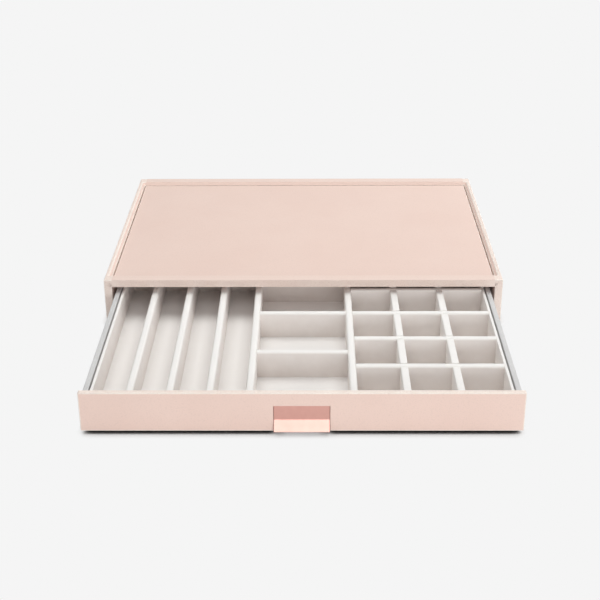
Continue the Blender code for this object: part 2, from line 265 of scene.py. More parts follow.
def mark_stretch_and_highlight(piece: Piece, narrow: float, wide: float,
                 tight_and_highlit: Callable[[Vector], bool] = shows_on_top) -> None:
    """Mark how far a wrap is stretched over edges and narrow flats, and how strongly a highlight is painted
    there, in a face attribute.

    Args:
        piece: The wrapped piece.
        narrow: A face narrower than this is fully stretched and takes the full painted highlight.
        wide: A flat that the wrap is pulled taut over fades to unstretched and unhighlighted at this width.
        tight_and_highlit: Says from a face's normal whether the wrap is pulled taut over it and takes the
            painted highlight.
    """
    mesh = piece.data
    stretch = mesh.attributes.new(STRETCH_AND_HIGHLIGHT, "FLOAT", "FACE")
    for face in mesh.polygons:
        corners = [mesh.vertices[i].co for i in face.vertices]
        sizes = sorted(max(c[k] for c in corners) - min(c[k] for c in corners) for k in range(3))
        width = math.hypot(sizes[0], sizes[1])
        if width < narrow:
            stretch.data[face.index].value = 1.0
        elif tight_and_highlit(face.normal):
            stretch.data[face.index].value = max(0.0, (wide - width) / (wide - narrow))


def mark_crown_highlight(piece: Piece, depth: float) -> None:
    """Mark how near a padded wall's surface is to its top, where its velvet is pulled taut and a highlight is
    painted.

    Args:
        piece: The padded wall.
        depth: How far below the top the mark fades out.
    """
    mesh = piece.data
    top = max(vertex.co.z for vertex in mesh.vertices)
    stretch = mesh.attributes.new(STRETCH_AND_HIGHLIGHT, "FLOAT", "POINT")
    for vertex in mesh.vertices:
        stretch.data[vertex.index].value = max(0.0, 1.0 - (top - vertex.co.z) / depth)


def mark_painted_floor_light(piece: Piece, share: float) -> None:
    """Mark a flat pad all over for painted light: a paler tone that stands in for the light it gets from above.
    """
    painted_floor_light = piece.data.attributes.new(PAINTED_FLOOR_LIGHT, "FLOAT", "POINT")
    painted_floor_light.data.foreach_set("value", [share] * len(piece.data.vertices))


def swell(piece: Piece, height: float, size: float) -> None:
    """Give a soft surface a slow unevenness.

    Args:
        piece: The piece, with enough vertices to carry the unevenness.
        height: How far the surface moves in and out in all.
        size: The size of the unevenness's humps.
    """
    clouds = bpy.data.textures.new(piece.name + "_clouds", "CLOUDS")
    clouds.noise_scale = size
    clouds.noise_depth = 1
    modify(piece, "DISPLACE", texture=clouds, texture_coords="LOCAL", strength=height, mid_level=0.5)


def cut_along(piece: Piece, axis: Axis, step: float) -> None:
    """Cut a piece across its length at even steps, so that it can bend and swell.

    Args:
        piece: The straight piece.
        axis: The axis that it runs along.
        step: The largest distance between two cuts.
    """
    places = [vertex.co[axis.value] for vertex in piece.data.vertices]
    low, high = min(places), max(places)
    count = max(1, math.ceil((high - low) / step))
    normal = [1.0 if i == axis.value else 0.0 for i in range(3)]
    for cut in range(1, count):
        spot = [0.0, 0.0, 0.0]
        spot[axis.value] = low + (high - low) * cut / count
        with editing(piece, Pick.FACES, everything):
            bpy.ops.mesh.bisect(plane_co=spot, plane_no=normal)


# Wiring of materials

MIX_COLOURS = (6, 7)  # a Mix node's two colour inputs
MIX_RESULT = 2  # its colour output
ADDEND = 2  # a multiply-add node's input for what is added


def tune(node: bpy.types.Node, **settings: object) -> bpy.types.Node:
    """Set a node's properties and, by socket name, its inputs.

    Args:
        node: The node.
        **settings: Property values, or input values whose names are written with underscores.

    Returns:
        The same node.
    """
    for key, value in settings.items():
        if hasattr(node, key):
            setattr(node, key, value)
        else:
            node.inputs[key.replace("_", " ")].default_value = value
    return node


class Graph:
    """A node tree that is being wired up, of a material or of a group."""

    def __init__(self, tree: bpy.types.NodeTree) -> None:
        """Keep the tree."""
        self.tree = tree

    def add(self, kind: str, **settings: object) -> bpy.types.Node:
        """Add a node of a type, with its settings."""
        return tune(self.tree.nodes.new(kind), **settings)

    def link(self, source: Socket, target: Socket) -> None:
        """Link an output to an input."""
        self.tree.links.new(source, target)

    def object_places(self, stretch: Point = (1.0, 1.0, 1.0)) -> Socket:
        """Give object coordinates.

        Args:
            stretch: How much each axis is scaled.

        Returns:
            The coordinates.
        """
        coordinates = self.add("ShaderNodeTexCoord")
        mapping = self.add("ShaderNodeMapping", Scale=stretch)
        self.link(coordinates.outputs["Object"], mapping.inputs["Vector"])
        return mapping.outputs["Vector"]

    def noise(self, places: Socket, scale: float, detail: float = 2.0, roughness: float = 0.5) -> Socket:
        """Lay a noise over coordinates.

        Args:
            places: The coordinates.
            scale: How many humps go in one unit of them.
            detail: How many finer layers it has.
            roughness: How strong the finer layers are.

        Returns:
            The noise's value.
        """
        node = self.add("ShaderNodeTexNoise", Scale=scale, Detail=detail, Roughness=roughness)
        self.link(places, node.inputs["Vector"])
        return node.outputs["Fac"]

    def remap(self, value: Socket, source: Span, target: Span = NONE_TO_ALL) -> Socket:
        """Move a value from one range to another, held at its ends.

        Args:
            value: The value.
            source: The range that it comes from.
            target: The range that it goes to.

        Returns:
            The moved value.
        """
        node = self.add(
            "ShaderNodeMapRange", From_Min=source[0], From_Max=source[1], To_Min=target[0], To_Max=target[1]
        )
        self.link(value, node.inputs["Value"])
        return node.outputs["Result"]

    def combine(self, operation: str, first: Socket, second: Socket | float) -> Socket:
        """Combine two values.

        Args:
            operation: The math operation's type name.
            first: The first value.
            second: The second value.

        Returns:
            The result.
        """
        node = self.add("ShaderNodeMath", operation=operation)
        self.link(first, node.inputs[0])
        if isinstance(second, float):
            node.inputs[1].default_value = second
        else:
            self.link(second, node.inputs[1])
        return node.outputs["Value"]

    def blend(self, factor: Socket, first: Socket | Colour, second: Socket | Colour) -> Socket:
        """Mix two colours.

        Args:
            factor: The second colour's share.
            first: The first colour.
            second: The second colour.

        Returns:
            The mixed colour.
        """
        node = self.add("ShaderNodeMix", data_type="RGBA")
        self.link(factor, node.inputs["Factor"])
        for index, source in zip(MIX_COLOURS, (first, second)):
            if isinstance(source, Socket):
                self.link(source, node.inputs[index])
            else:
                node.inputs[index].default_value = (*source, 1.0)
        return node.outputs[MIX_RESULT]

    def bump(self, height: Socket, distance: float, strength: float, shader: bpy.types.Node) -> None:
        """Feed a height to a shader's normal.

        Args:
            height: The height.
            distance: How far the relief stands out, in metres.
            strength: How strongly it shows.
            shader: The shader.
        """
        node = self.add("ShaderNodeBump", Strength=strength, Distance=distance)
        self.link(height, node.inputs["Height"])
        self.link(node.outputs["Normal"], shader.inputs["Normal"])

    def place_group(self, group: bpy.types.NodeTree, **inputs: object) -> bpy.types.Node:
        """Place a shared group, with values for its inputs."""
        return self.add("ShaderNodeGroup", node_tree=group, **inputs)


def new_group(name: str, inputs: dict[str, str], outputs: dict[str, str]
              ) -> tuple[bpy.types.NodeTree, Graph, bpy.types.Node, bpy.types.Node]:
    """Make an empty shader group with named sockets.

    Args:
        name: The group's name.
        inputs: Socket type names by input name.
        outputs: Socket type names by output name.

    Returns:
        The group, its graph, its input node and its output node.
    """
    tree = bpy.data.node_groups.new(name, "ShaderNodeTree")
    for way, sockets in (("INPUT", inputs), ("OUTPUT", outputs)):
        for label, kind in sockets.items():
            tree.interface.new_socket(name=label, in_out=way, socket_type=kind)
    graph = Graph(tree)
    return tree, graph, graph.add("NodeGroupInput"), graph.add("NodeGroupOutput")


DRIFT_SPAN: Span = (0.32, 0.68)  # the part of the noise over which one tone gives way to the other
NAP_SHARE = 0.6  # how high the nap stands beside the fine fibres


def build_tone_drift() -> bpy.types.NodeTree:
    """Build the group that lets a dyed surface drift slowly between two tones.

    Returns:
        The group.
    """
    tree, graph, entry, leave = new_group(
        "tone_drift",
        {"Tone": "NodeSocketColor", "Other Tone": "NodeSocketColor", "Scale": "NodeSocketFloat"},
        {"Colour": "NodeSocketColor"},
    )
    noise = graph.add("ShaderNodeTexNoise", Detail=3.0, Roughness=0.55)
    graph.link(graph.object_places(), noise.inputs["Vector"])
    graph.link(entry.outputs["Scale"], noise.inputs["Scale"])
    share = graph.remap(noise.outputs["Fac"], DRIFT_SPAN)
    drifting = graph.blend(share, entry.outputs["Tone"], entry.outputs["Other Tone"])
    graph.link(drifting, leave.inputs["Colour"])
    return tree


def build_fibre_relief() -> bpy.types.NodeTree:
    """Build the group that gives the height of short fibres: fine specks on a slow nap.

    Returns:
        The group.
    """
    tree, graph, entry, leave = new_group(
        "fibre_relief",
        {"Fine Scale": "NodeSocketFloat", "Nap Scale": "NodeSocketFloat"},
        {"Height": "NodeSocketFloat", "Nap": "NodeSocketFloat"},
    )
    places = graph.object_places()
    fine = graph.add("ShaderNodeTexNoise", Detail=3.0, Roughness=0.7)
    nap = graph.add("ShaderNodeTexNoise", Detail=2.0, Roughness=0.5)
    for node, label in ((fine, "Fine Scale"), (nap, "Nap Scale")):
        graph.link(places, node.inputs["Vector"])
        graph.link(entry.outputs[label], node.inputs["Scale"])
    height = graph.combine("MULTIPLY_ADD", nap.outputs["Fac"], NAP_SHARE)
    graph.link(fine.outputs["Fac"], height.node.inputs[ADDEND])
    graph.link(height, leave.inputs["Height"])
    graph.link(nap.outputs["Fac"], leave.inputs["Nap"])
    return tree


def build_handling() -> bpy.types.NodeTree:
    """Build the group that varies roughness where hands have polished a surface.

    Returns:
        The group.
    """
    tree, graph, entry, leave = new_group(
        "handling",
        {"Smooth": "NodeSocketFloat", "Rough": "NodeSocketFloat", "Scale": "NodeSocketFloat"},
        {"Roughness": "NodeSocketFloat"},
    )
    noise = graph.add("ShaderNodeTexNoise", Detail=4.0, Roughness=0.6, Distortion=0.4)
    graph.link(graph.object_places(), noise.inputs["Vector"])
    graph.link(entry.outputs["Scale"], noise.inputs["Scale"])
    spread = graph.add("ShaderNodeMapRange", From_Min=0.3, From_Max=0.7)
    graph.link(noise.outputs["Fac"], spread.inputs["Value"])
    graph.link(entry.outputs["Smooth"], spread.inputs["To Min"])
    graph.link(entry.outputs["Rough"], spread.inputs["To Max"])
    graph.link(spread.outputs["Result"], leave.inputs["Roughness"])
    return tree


@dataclass(frozen=True)
class SharedEffects:
    """The node groups that the finishes place in their materials."""

    tone_drift: bpy.types.NodeTree
    fibre_relief: bpy.types.NodeTree
    handling: bpy.types.NodeTree

    @classmethod
    def build(cls) -> "SharedEffects":
        """Build all the groups once."""
        return cls(build_tone_drift(), build_fibre_relief(), build_handling())

    def drift(self, graph: Graph, tone: Colour, other_tone: Colour, scale: float) -> Socket:
        """Return a colour that drifts between two tones."""
        node = graph.place_group(self.tone_drift, Tone=(*tone, 1.0), Other_Tone=(*other_tone, 1.0), Scale=scale)
        return node.outputs["Colour"]

    def fibres(self, graph: Graph, fine_scale: float, nap_scale: float) -> tuple[Socket, Socket]:
        """Return the height of short fibres, and the nap that they stand on."""
        node = graph.place_group(self.fibre_relief, Fine_Scale=fine_scale, Nap_Scale=nap_scale)
        return node.outputs["Height"], node.outputs["Nap"]

    def handled(self, graph: Graph, roughness: Span, scale: float) -> Socket:
        """Return a roughness that varies between two values where hands have polished a surface."""
        node = graph.place_group(self.handling, Smooth=roughness[0], Rough=roughness[1], Scale=scale)
        return node.outputs["Roughness"]


# Finishes


def start_material(name: str) -> tuple[bpy.types.Material, Graph, bpy.types.Node]:
    """Make a material.

    Args:
        name: Its name.

    Returns:
        The material, its graph and its shader.
    """
    material = bpy.data.materials.new(name)
    material.use_nodes = True
    return material, Graph(material.node_tree), material.node_tree.nodes["Principled BSDF"]


@dataclass(frozen=True)
class Leatherette:
    """Satin blush leatherette with a fine pebbled grain, paler where it is stretched over an edge, with a
    painted highlight there.
    """

    name: str = "blush_leatherette"
    specular: float = 0.35
    sheen: float = 0.08
    sheen_roughness: float = 0.5
    tone: Colour = (0.850, 0.655, 0.580)
    other_tone: Colour = (0.832, 0.632, 0.558)
    drift_scale: float = 14.0
    # painted highlight, partly the paler look of a stretched cover
    stretched_highlight_tone: Colour = (0.950, 0.865, 0.795)
    # a noise that makes the painted highlight uneven
    patchiness_scale: float = 60.0
    patchiness_detail: float = 4.0
    patchiness_noise: Span = (0.35, 0.65)
    patchiness_share: Span = (0.75, 1.0)
    pebble_scale: float = 1150.0
    pebble_softness: float = 0.6
    pebble_span: Span = (0.1, 0.75)
    pore_span: Span = (0.0, 0.3)
    pore_share: Span = (0.35, 0.0)
    pore_shade: float = 0.86
    roughness: Span = (0.47, 0.60)
    handling_scale: float = 22.0
    wrinkle_scale: float = 260.0
    wrinkle_detail: float = 3.0
    wrinkle_share: float = 0.8
    relief: float = 0.00005
    relief_strength: float = 0.55

    def pebbles(self, graph: Graph) -> Socket:
        """Make the pebbled grain.

        Args:
            graph: The material's graph.

        Returns:
            The grain's height.
        """
        cells = graph.add(
            "ShaderNodeTexVoronoi", feature="SMOOTH_F1", Scale=self.pebble_scale, Smoothness=self.pebble_softness
        )
        graph.link(graph.object_places(), cells.inputs["Vector"])
        return graph.remap(cells.outputs["Distance"], self.pebble_span, ALL_TO_NONE)

    def material(self, effects: SharedEffects) -> bpy.types.Material:
        """Build the material.

        Args:
            effects: The shared node groups.

        Returns:
            The new material.
        """
        material, graph, shader = start_material(self.name)
        tune(shader, Specular_IOR_Level=self.specular)
        tune(shader, Sheen_Weight=self.sheen, Sheen_Roughness=self.sheen_roughness)
        drift = effects.drift(graph, self.tone, self.other_tone, self.drift_scale)
        # Painted highlight: marked faces take a paler tone, partly the stretched cover and partly light on
        # edges, narrow flats and rail and post fronts; a noise makes it uneven.
        stretch = graph.add("ShaderNodeAttribute", attribute_name=STRETCH_AND_HIGHLIGHT)
        patchiness = graph.noise(graph.object_places(), self.patchiness_scale, self.patchiness_detail)
        patchy = graph.remap(patchiness, self.patchiness_noise, self.patchiness_share)
        share = graph.combine("MULTIPLY", stretch.outputs["Fac"], patchy)
        pebbles = self.pebbles(graph)
        pores = graph.remap(pebbles, self.pore_span, self.pore_share)
        pore_tone = tuple(channel * self.pore_shade for channel in self.tone)
        toned = graph.blend(share, drift, self.stretched_highlight_tone)
        graph.link(graph.blend(pores, toned, pore_tone), shader.inputs["Base Color"])
        graph.link(effects.handled(graph, self.roughness, self.handling_scale), shader.inputs["Roughness"])
        wrinkles = graph.noise(graph.object_places(), self.wrinkle_scale, self.wrinkle_detail)
        height = graph.combine("MULTIPLY_ADD", wrinkles, self.wrinkle_share)
        graph.link(pebbles, height.node.inputs[ADDEND])
        graph.bump(height, self.relief, self.relief_strength, shader)
        return material


@dataclass(frozen=True)
class Velvet:
    """Cream velvet: a short dense pile that brushes lighter and darker, with a painted highlight on the wall
    tops and painted light on the tray floor.
    """

    name: str = "cream_velvet"
    specular: float = 0.12
    sheen: float = 0.3
    sheen_roughness: float = 0.6
    sheen_tint: Colour = (1.0, 0.99, 0.97)
    tone: Colour = (0.815, 0.754, 0.717)
    other_tone: Colour = (0.790, 0.724, 0.685)
    drift_scale: float = 48.0
    brushed_tone: Colour = (0.852, 0.802, 0.768)
    brushed_nap: Span = (0.42, 0.66)
    brushed_share: Span = (0.0, 0.40)
    # painted highlight on the wall tops, partly velvet pulled taut
    tight_highlight_tone: Colour = (0.97, 0.95, 0.93)
    tight_highlight_share: float = 0.95
    # painted light on the tray floor
    painted_floor_light_tone: Colour = (0.932, 0.912, 0.898)
    pile_scale: float = 2600.0
    nap_scale: float = 90.0
    nap_span: Span = (0.3, 0.7)
    roughness: Span = (0.97, 0.86)
    relief: float = 0.00016
    relief_strength: float = 0.6

    def material(self, effects: SharedEffects) -> bpy.types.Material:
        """Build the material.

        Args:
            effects: The shared node groups.

        Returns:
            The new material.
        """
        material, graph, shader = start_material(self.name)
        tune(shader, Specular_IOR_Level=self.specular, Sheen_Tint=(*self.sheen_tint, 1.0))
        tune(shader, Sheen_Weight=self.sheen, Sheen_Roughness=self.sheen_roughness)
        drift = effects.drift(graph, self.tone, self.other_tone, self.drift_scale)
        height, nap = effects.fibres(graph, self.pile_scale, self.nap_scale)
        own_tone = graph.blend(graph.remap(nap, self.brushed_nap, self.brushed_share), drift, self.brushed_tone)
        # Painted light: the marked tray floor takes a paler tone that stands in for the light from above.
        painted_floor_light = graph.add("ShaderNodeAttribute", attribute_name=PAINTED_FLOOR_LIGHT)
        toned = graph.blend(painted_floor_light.outputs["Fac"], own_tone, self.painted_floor_light_tone)
        # Painted highlight: the wall tops take a near-white tone, partly velvet pulled taut and partly light on
        # the tops.
        stretch = graph.add("ShaderNodeAttribute", attribute_name=STRETCH_AND_HIGHLIGHT)
        tight_and_highlit = graph.combine("MULTIPLY", stretch.outputs["Fac"], self.tight_highlight_share)
        graph.link(graph.blend(tight_and_highlit, toned, self.tight_highlight_tone), shader.inputs["Base Color"])
        graph.link(graph.remap(nap, self.nap_span, self.roughness), shader.inputs["Roughness"])
        graph.bump(height, self.relief, self.relief_strength, shader)
        return material


@dataclass(frozen=True)
class PaperBoard:
    """Light grey paper-wrapped board with a faint fibre texture."""

    name: str = "grey_paper_board"
    specular: float = 0.3
    tone: Colour = (0.68, 0.675, 0.675)
    other_tone: Colour = (0.64, 0.635, 0.635)
    drift_scale: float = 30.0
    fleck_tone: Colour = (0.75, 0.745, 0.745)
    fleck_span: Span = (0.85, 1.05)
    fleck_share: Span = (0.0, 0.5)
    fibre_scale: float = 1500.0
    nap_scale: float = 400.0
    roughness: Span = (0.62, 0.78)
    handling_scale: float = 35.0
    relief: float = 0.00004
    relief_strength: float = 0.4

    def material(self, effects: SharedEffects) -> bpy.types.Material:
        """Build the material.

        Args:
            effects: The shared node groups.

        Returns:
            The new material.
        """
        material, graph, shader = start_material(self.name)
        tune(shader, Specular_IOR_Level=self.specular)
        drift = effects.drift(graph, self.tone, self.other_tone, self.drift_scale)
        height, _ = effects.fibres(graph, self.fibre_scale, self.nap_scale)
        flecks = graph.remap(height, self.fleck_span, self.fleck_share)
        graph.link(graph.blend(flecks, drift, self.fleck_tone), shader.inputs["Base Color"])
        graph.link(effects.handled(graph, self.roughness, self.handling_scale), shader.inputs["Roughness"])
        graph.bump(height, self.relief, self.relief_strength, shader)
        return material


@dataclass(frozen=True)
class Felt:
    """Grey felt of the base, pressed flat."""

    name: str = "grey_felt"
    specular: float = 0.1
    sheen: float = 0.25
    tone: Colour = (0.40, 0.38, 0.36)
    other_tone: Colour = (0.33, 0.31, 0.295)
    drift_scale: float = 90.0
    tuft_tone: Colour = (0.50, 0.48, 0.46)
    tuft_span: Span = (0.8, 1.1)
    tuft_share: Span = (0.0, 0.6)
    fibre_scale: float = 1100.0
    nap_scale: float = 230.0
    nap_span: Span = (0.3, 0.7)
    roughness: Span = (0.98, 0.9)
    relief: float = 0.0003
    relief_strength: float = 0.7

    def material(self, effects: SharedEffects) -> bpy.types.Material:
        """Build the material.

        Args:
            effects: The shared node groups.

        Returns:
            The new material.
        """
        material, graph, shader = start_material(self.name)
        tune(shader, Specular_IOR_Level=self.specular, Sheen_Weight=self.sheen)
        drift = effects.drift(graph, self.tone, self.other_tone, self.drift_scale)
        height, nap = effects.fibres(graph, self.fibre_scale, self.nap_scale)
        tufts = graph.remap(height, self.tuft_span, self.tuft_share)
        graph.link(graph.blend(tufts, drift, self.tuft_tone), shader.inputs["Base Color"])
        graph.link(graph.remap(nap, self.nap_span, self.roughness), shader.inputs["Roughness"])
        graph.bump(height, self.relief, self.relief_strength, shader)
        return material


@dataclass(frozen=True)
class RoseGold:
    """Rose gold plated metal with a fine brushed grain across the pull."""

    name: str = "rose_gold_metal"
    metallic: float = 1.0
    coat: float = 0.8
    coat_roughness: float = 0.25
    tone: Colour = (0.70, 0.372, 0.315)
    other_tone: Colour = (0.67, 0.350, 0.296)
    drift_scale: float = 120.0
    grain: Point = (120.0, 6000.0, 6000.0)
    grain_detail: float = 3.0
    grain_roughness: float = 0.7
    grain_span: Span = (0.3, 0.7)
    streaks: Span = (-0.02, 0.03)
    roughness: Span = (0.33, 0.37)
    handling_scale: float = 60.0
    relief: float = 0.00001
    relief_strength: float = 0.2

    def material(self, effects: SharedEffects) -> bpy.types.Material:
        """Build the material.

        Args:
            effects: The shared node groups.

        Returns:
            The new material.
        """
        material, graph, shader = start_material(self.name)
        tune(shader, Metallic=self.metallic, Coat_Weight=self.coat, Coat_Roughness=self.coat_roughness)
        drift = effects.drift(graph, self.tone, self.other_tone, self.drift_scale)
        graph.link(drift, shader.inputs["Base Color"])
        grain = graph.noise(graph.object_places(self.grain), 1.0, self.grain_detail, self.grain_roughness)
        handled = effects.handled(graph, self.roughness, self.handling_scale)
        streaks = graph.remap(grain, self.grain_span, self.streaks)
        graph.link(graph.combine("ADD", handled, streaks), shader.inputs["Roughness"])
        graph.bump(grain, self.relief, self.relief_strength, shader)
        return material


@dataclass(frozen=True)
class Finishes:
    """The object's materials, built once."""

    leatherette: bpy.types.Material
    velvet: bpy.types.Material
    board: bpy.types.Material
    felt: bpy.types.Material
    rose_gold: bpy.types.Material

    @classmethod
    def build(cls) -> "Finishes":
        """Build the shared groups and then every finish.

        Returns:
            The finishes.
        """
        effects = SharedEffects.build()
        kinds = (Leatherette, Velvet, PaperBoard, Felt, RoseGold)
        return cls(*(kind().material(effects) for kind in kinds))


class Slot(Enum):
    """The record's material slots."""

    LEATHERETTE = "leatherette"
    VELVET = "velvet"
    BOARD = "grey_board"
    ROSE_GOLD = "rose_gold"
    FELT = "felt"


def dress(piece: Piece, node: str, body: Body, material: bpy.types.Material) -> None:
    """Give a finished piece its material, its body and the node that it stands for.

    Args:
        piece: The finished piece.
        node: The CAD node that it replaces.
        body: The body that it moves with.
        material: Its material.
    """
    piece.data.materials.clear()
    piece.data.materials.append(material)
    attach(piece, body.value)
    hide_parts(node)
    LOG.info("%s: %d faces, rides on %s", piece.name, len(piece.data.polygons), body.value)


# The casing


@dataclass
class Casing:
    """The wrapped casing: two sides, two rails, recessed top panel, back, bottom and base plinth."""

    finishes: Finishes
    slope_run: float = 0.0033
    wrap_radius: float = 0.0010
    panel_radius: float = 0.0009
    panel_reveal: float = 0.0010
    felt_radius: float = 0.0006
    rounding_segments: int = 5
    overrun: float = 0.002
    # widths over which the painted highlight on flats fades out
    stretched_highlight_width: float = 0.0020
    loose_unhighlit_width: float = 0.0140

    def hopper(self) -> Piece:
        """Make the cutter that leaves the rim's inner slope and the ledge below it.

        Returns:
            The cutter.
        """
        panel_low, panel_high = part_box("casing_top_panel")
        rail_low, rail_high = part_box("casing_front_rail")
        recess_z = panel_high.z
        ledge_z = rail_low.z
        half_depth = -rail_high.y
        half_width = panel_high.x + (panel_low.y - rail_high.y)
        cutter = add_block("hopper", (-half_width, -half_depth, ledge_z), (half_width, half_depth, recess_z))
        with editing(cutter, Pick.FACES, all_at(Axis.Z, recess_z)):
            rise = rail_high.z - recess_z + self.overrun
            flare = self.slope_run * rise / (rail_high.z - recess_z)
            bpy.ops.mesh.extrude_region_move(TRANSFORM_OT_translate={"value": (0, 0, rise)})
            bpy.ops.transform.resize(value=(1 + flare / half_width, 1 + flare / half_depth, 1))
        return cutter

    def seam_x(self) -> float:
        """Return how far from the middle the rails meet the sides."""
        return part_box("casing_right_side")[0].x

    def wrap(self, node: str, piece: Piece, radius: float,
             kept: Callable[[Corners], bool] = nothing,
             tight_and_highlit: Callable[[Vector], bool] = shows_on_top) -> None:
        """Round a wrapped board's edges, mark its stretched faces with their painted highlight and dress it.

        Args:
            node: The node that it stands for.
            piece: The finished board.
            radius: Its edges' radius.
            kept: Says which edges stay as they are.
            tight_and_highlit: Says from a face's normal whether the wrap is pulled taut over it and takes the
                painted highlight.
        """
        round_edges(piece, radius, self.rounding_segments, kept=kept)
        mark_stretch_and_highlight(piece, self.stretched_highlight_width, self.loose_unhighlit_width, tight_and_highlit)
        dress(piece, node, Body.CASING, self.finishes.leatherette)

    def build_sides(self) -> None:
        """Build the two sides, whose rim runs on into the rails without a seam."""
        ledge_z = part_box("casing_front_rail")[0].z
        seam = self.seam_x()
        for name in ("left_side", "right_side"):
            node = "casing_" + name
            side = add_block(name + "_wrap", *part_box(node))
            cut_away(side, self.hopper())
            with editing(side, Pick.FACES, everything):
                bpy.ops.mesh.bisect(plane_co=(0, 0, ledge_z), plane_no=(0, 0, 1))
            # Their front faces take the painted highlight too.
            self.wrap(
                node, side, self.wrap_radius,
                kept=lambda corners: all(
                    abs(abs(corner.x) - seam) < TOUCH and corner.z > ledge_z - TOUCH for corner in corners
                ),
                tight_and_highlit=shows_on_rail,
            )

    def build_rails(self) -> None:
        """Build the two rails, which reach the sides and keep their ends sharp."""
        seam = self.seam_x()
        for name in ("front_rail", "back_rail"):
            node = "casing_" + name
            low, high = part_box(node)
            rail = add_block(name + "_wrap", (-seam, low.y, low.z), (seam, high.y, high.z))
            cut_away(rail, self.hopper())
            # Their front faces take the painted highlight too.
            self.wrap(
                node, rail, self.wrap_radius,
                kept=lambda corners: all(abs(abs(corner.x) - seam) < TOUCH for corner in corners),
                tight_and_highlit=shows_on_rail,
            )

    def build_boards(self) -> None:
        """Build the recessed top panel, with a reveal round it, the back and the bottom."""
        low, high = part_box("casing_top_panel")
        inset = Vector((self.panel_reveal, self.panel_reveal, 0))
        panel = add_block("top_panel_wrap", low + inset, high - inset)
        self.wrap("casing_top_panel", panel, self.panel_radius)
        for name, radius in (("back", self.wrap_radius), ("bottom", self.panel_radius)):
            node = "casing_" + name
            self.wrap(node, add_block(name + "_wrap", *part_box(node)), radius)

    def build_plinth(self) -> None:
        """Build the felt-covered base plinth."""
        low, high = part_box("base_plinth")
        plinth = add_block("base_felt", low, high)
        round_edges(plinth, self.felt_radius, self.rounding_segments)
        dress(plinth, "base_plinth", Body.CASING, self.finishes.felt)

    def build(self) -> None:
        """Build every piece of the casing."""
        self.build_sides()
        self.build_rails()
        self.build_boards()
        self.build_plinth()


# The drawer box and its pull


@dataclass
class DrawerBox:
    """The drawer's wrapped front with its stepped notch, and the thin board box behind it."""

    finishes: Finishes
    wrap_radius: float = 0.0010
    board_radius: float = 0.0007
    rounding_segments: int = 5
    notch_clearance: float = 0.0005
    pull_backing: float = 0.0003
    crease_rise: float = 0.0106
    overrun: float = 0.002
    # widths over which the painted highlight on flats fades out
    stretched_highlight_width: float = 0.0020
    loose_unhighlit_width: float = 0.0140

    def build_front(self) -> None:
        """Build the front: a pocket for the pull's leg, a finger notch below it, and soft wrapped edges."""
        low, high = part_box("drawer_front")
        pull_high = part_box("drawer_pull")[1]
        half_notch = pull_high.x + self.notch_clearance
        gap_top = low.z + self.crease_rise
        notch_top = pull_high.z + self.notch_clearance
        front = add_block("front_wrap", low, high)
        pocket = add_block(
            "pocket",
            (-half_notch, low.y - self.overrun, gap_top - self.overrun),
            (half_notch, pull_high.y + self.pull_backing, notch_top),
        )
        cut_away(front, pocket)
        gap = add_block(
            "finger_gap",
            (-half_notch, low.y - self.overrun, low.z - self.overrun),
            (half_notch, high.y + self.overrun, gap_top),
        )
        cut_away(front, gap)
        round_edges(
            front, self.wrap_radius, self.rounding_segments,
            kept=lambda corners: all(
                abs(corner.x) < half_notch + TOUCH and corner.z < notch_top + TOUCH for corner in corners
            ),
        )
        # Painted highlight: the front's edges and narrow flats take the paler tone.
        mark_stretch_and_highlight(front, self.stretched_highlight_width, self.loose_unhighlit_width)
        dress(front, "drawer_front", Body.DRAWER, self.finishes.leatherette)

    def build_boards(self) -> None:
        """Build the two sides, the back and the bottom."""
        for node in ("drawer_left_side", "drawer_right_side", "drawer_back", "drawer_bottom"):
            low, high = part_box(node)
            board = add_block(node.removeprefix("drawer_") + "_board", low, high)
            round_edges(board, self.board_radius, self.rounding_segments)
            dress(board, node, Body.DRAWER, self.finishes.board)

    def build(self) -> None:
        """Build the front and the box."""
        self.build_front()
        self.build_boards()


@dataclass
class Pull:
    """The bent metal pull: an upright leg, a bend and a lip that slants out and down."""

    finishes: Finishes
    thickness: float = 0.0013
    bend_radius: float = 0.0014
    crease_rise: float = 0.0112
    lip_reach: float = 0.0075
    lip_fall: float = 0.0090
    bend_steps: int = 8
    edge_radius: float = 0.00028
    edge_segments: int = 3
    edge_angle: float = 50.0
    merge_distance: float = 1e-6

    def build(self) -> None:
        """Build the pull from a flat leg by spinning its lower edge round the bend and extruding the lip."""
        low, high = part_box("drawer_pull")
        crease_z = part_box("drawer_front")[0].z + self.crease_rise
        lean = math.atan2(self.lip_reach, self.lip_fall)
        radius = self.bend_radius + self.thickness / 2
        tangent = radius * math.tan(lean / 2)
        leg_y = high.y - self.thickness / 2
        bend_z = crease_z + tangent
        lip_length = math.hypot(self.lip_reach, self.lip_fall) - tangent
        clear_selection()
        middle = ((low.x + high.x) / 2, leg_y, (bend_z + high.z) / 2)
        bpy.ops.mesh.primitive_plane_add(size=1.0, location=middle, rotation=(math.pi / 2, 0, 0))
        pull = bpy.context.object
        pull.name = pull.data.name = "pull_plate"
        pull.scale = (high.x - low.x, high.z - bend_z, 1.0)
        settle(pull)
        with editing(pull, Pick.EDGES, all_at(Axis.Z, bend_z)):
            bpy.ops.mesh.spin(
                steps=self.bend_steps, angle=lean, center=(0, leg_y - radius, bend_z), axis=(1, 0, 0)
            )
            way = Vector((0, -math.sin(lean), -math.cos(lean))) * lip_length
            bpy.ops.mesh.extrude_region_move(TRANSFORM_OT_translate={"value": way})
            bpy.ops.mesh.select_all(action="SELECT")
            bpy.ops.mesh.remove_doubles(threshold=self.merge_distance)
            bpy.ops.mesh.normals_make_consistent(inside=False)
        modify(pull, "SOLIDIFY", thickness=self.thickness, offset=0.0)
        round_edges(pull, self.edge_radius, self.edge_segments, self.edge_angle)
        dress(pull, "drawer_pull", Body.DRAWER, self.finishes.rose_gold)


# The velvet tray


